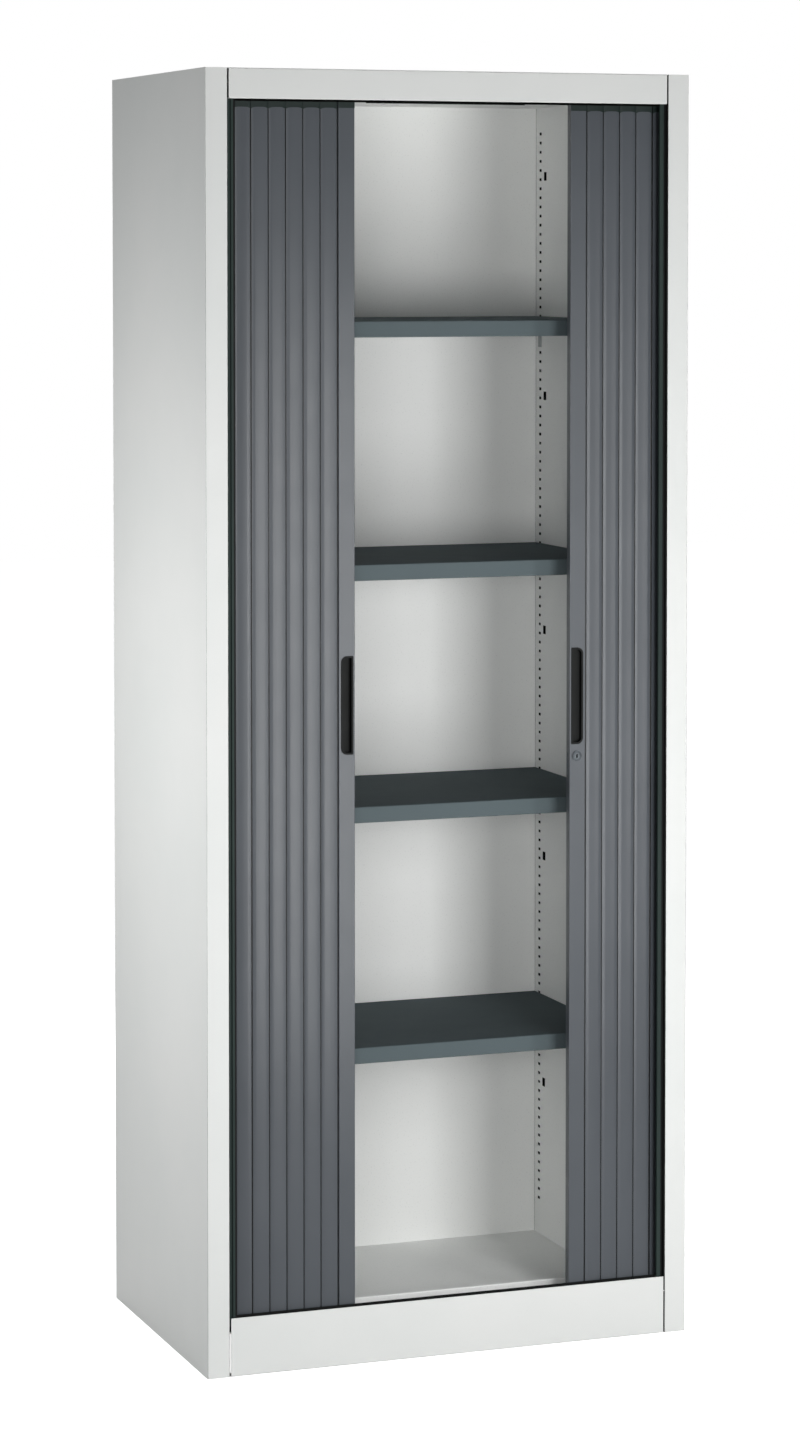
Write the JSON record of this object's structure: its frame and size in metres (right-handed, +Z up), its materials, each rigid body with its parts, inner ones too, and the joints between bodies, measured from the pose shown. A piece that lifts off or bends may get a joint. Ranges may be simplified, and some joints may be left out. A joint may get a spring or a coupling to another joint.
{
  "type": "roll front tool cabinet",
  "caption": "Tall free-standing steel cabinet with two slatted curtains that slide sideways round the front corners to cover or open a shelved interior, with recessed grips and a cam lock.",
  "frame": {"origin": "floor level under the middle of the cabinet", "axes": "+X to the right along the front, -Y out of the front, +Z up"},
  "size_m": [0.79, 0.5, 1.98],
  "materials": {
    "casing_paint": "fine textured light grey powder coat",
    "slat_plastic": "satin anthracite",
    "bar_paint": "anthracite coated profile",
    "grip_plastic": "black satin",
    "lock_chrome": "nickel plated",
    "clip_steel": "zinc plated",
    "shelf_paint": "dark grey powder coat",
    "rail_plastic": "black",
    "seal_plastic": "dark grey"
  },
  "bodies": {
    "cabinet": {"side_panel_left": "casing_paint", "side_panel_right": "casing_paint", "top_panel": "casing_paint", "plinth_panel": "casing_paint", "base_pan": "casing_paint", "outer_back": "casing_paint", "lining_left": "casing_paint", "lining_right": "casing_paint", "lining_back": "casing_paint", "ceiling_panel": "casing_paint", "floor_plate": "casing_paint", "shelf_clips": "clip_steel", "bottom_rail": "rail_plastic", "top_rail": "rail_plastic", "seal_left": "seal_plastic", "seal_right": "seal_plastic", "shelf_1": "shelf_paint", "shelf_2": "shelf_paint", "shelf_3": "shelf_paint", "shelf_4": "shelf_paint"},
    "curtain_left_lead": {"lead_bar_left": "bar_paint", "slat_left_01": "slat_plastic", "slat_left_02": "slat_plastic", "slat_left_03": "slat_plastic", "slat_left_04": "slat_plastic", "slat_left_05": "slat_plastic", "grip_left": "grip_plastic"},
    "curtain_left_from_06": {"slat_left_06": "slat_plastic"},
    "curtain_left_from_07": {"slat_left_07": "slat_plastic"},
    "curtain_left_from_08": {"slat_left_08": "slat_plastic", "slat_left_09": "slat_plastic", "slat_left_10": "slat_plastic", "slat_left_11": "slat_plastic"},
    "curtain_left_from_12": {"slat_left_12": "slat_plastic"},
    "curtain_right_lead": {"lead_bar_right": "bar_paint", "slat_right_01": "slat_plastic", "slat_right_02": "slat_plastic", "slat_right_03": "slat_plastic", "slat_right_04": "slat_plastic", "grip_right": "grip_plastic", "lock_housing": "lock_chrome"},
    "curtain_right_from_05": {"slat_right_05": "slat_plastic"},
    "curtain_right_from_06": {"slat_right_06": "slat_plastic"},
    "curtain_right_from_07": {"slat_right_07": "slat_plastic", "slat_right_08": "slat_plastic", "slat_right_09": "slat_plastic", "slat_right_10": "slat_plastic", "slat_right_11": "slat_plastic"},
    "curtain_right_from_12": {"slat_right_12": "slat_plastic"},
    "lock_barrel": {"lock_plug": "lock_chrome", "lock_cam": "lock_chrome"}
  },
  "joints": [
    {"name": "curtain_left_slide", "type": "slide", "parent": "cabinet", "child": "curtain_left_lead", "axis": [1, 0, 0], "range_m": [0, 0.153]},
    {"name": "slat_left_06_knuckle", "type": "hinge", "parent": "curtain_left_lead", "child": "curtain_left_from_06", "pos_m": [-0.319, -0.2335, 0.0693], "axis": [0, 0, 1], "range_deg": [0, 7.54]},
    {"name": "slat_left_07_knuckle", "type": "hinge", "parent": "curtain_left_from_06", "child": "curtain_left_from_07", "pos_m": [-0.34626, -0.22989, 0.0693], "axis": [0, 0, 1], "range_deg": [0, 48.13]},
    {"name": "slat_left_08_knuckle", "type": "hinge", "parent": "curtain_left_from_07", "child": "curtain_left_from_08", "pos_m": [-0.36177, -0.20718, 0.0693], "axis": [0, 0, 1], "range_deg": [0, 34.33]},
    {"name": "slat_left_12_knuckle", "type": "hinge", "parent": "curtain_left_from_08", "child": "curtain_left_from_12", "pos_m": [-0.362, -0.09718, 0.0693], "axis": [0, 0, -1], "range_deg": [0, 25.39]},
    {"name": "curtain_right_slide", "type": "slide", "parent": "cabinet", "child": "curtain_right_lead", "axis": [-1, 0, 0], "range_m": [0, 0.1996]},
    {"name": "slat_right_05_knuckle", "type": "hinge", "parent": "curtain_right_lead", "child": "curtain_right_from_05", "pos_m": [0.33809, -0.23287, 0.0693], "axis": [0, 0, -1], "range_deg": [0, 40.3]},
    {"name": "slat_right_06_knuckle", "type": "hinge", "parent": "curtain_right_from_05", "child": "curtain_right_from_06", "pos_m": [0.35946, -0.21557, 0.0693], "axis": [0, 0, -1], "range_deg": [0, 44.41]},
    {"name": "slat_right_07_knuckle", "type": "hinge", "parent": "curtain_right_from_06", "child": "curtain_right_from_07", "pos_m": [0.362, -0.18819, 0.0693], "axis": [0, 0, -1], "range_deg": [0, 5.29]},
    {"name": "slat_right_12_knuckle", "type": "hinge", "parent": "curtain_right_from_07", "child": "curtain_right_from_12", "pos_m": [0.362, -0.05069, 0.0693], "axis": [0, 0, 1], "range_deg": [0, 55]},
    {"name": "lock_turn", "type": "hinge", "parent": "curtain_right_lead", "child": "lock_barrel", "pos_m": [0.2126, -0.2335, 0.92], "axis": [0, 1, 0], "range_deg": [0, 90]}
  ],
  "couplings": [
    {"joint": "slat_left_06_knuckle", "follows": "curtain_left_slide", "rad_per_m": 0.85979},
    {"joint": "slat_left_07_knuckle", "follows": "curtain_left_slide", "rad_per_m": 5.4902},
    {"joint": "slat_left_08_knuckle", "follows": "curtain_left_slide", "rad_per_m": 3.9166},
    {"joint": "slat_left_12_knuckle", "follows": "curtain_left_slide", "rad_per_m": 2.8967},
    {"joint": "slat_right_05_knuckle", "follows": "curtain_right_slide", "rad_per_m": 3.5239},
    {"joint": "slat_right_06_knuckle", "follows": "curtain_right_slide", "rad_per_m": 3.8833},
    {"joint": "slat_right_07_knuckle", "follows": "curtain_right_slide", "rad_per_m": 0.46247},
    {"joint": "slat_right_12_knuckle", "follows": "curtain_right_slide", "rad_per_m": 4.8093}
  ]
}
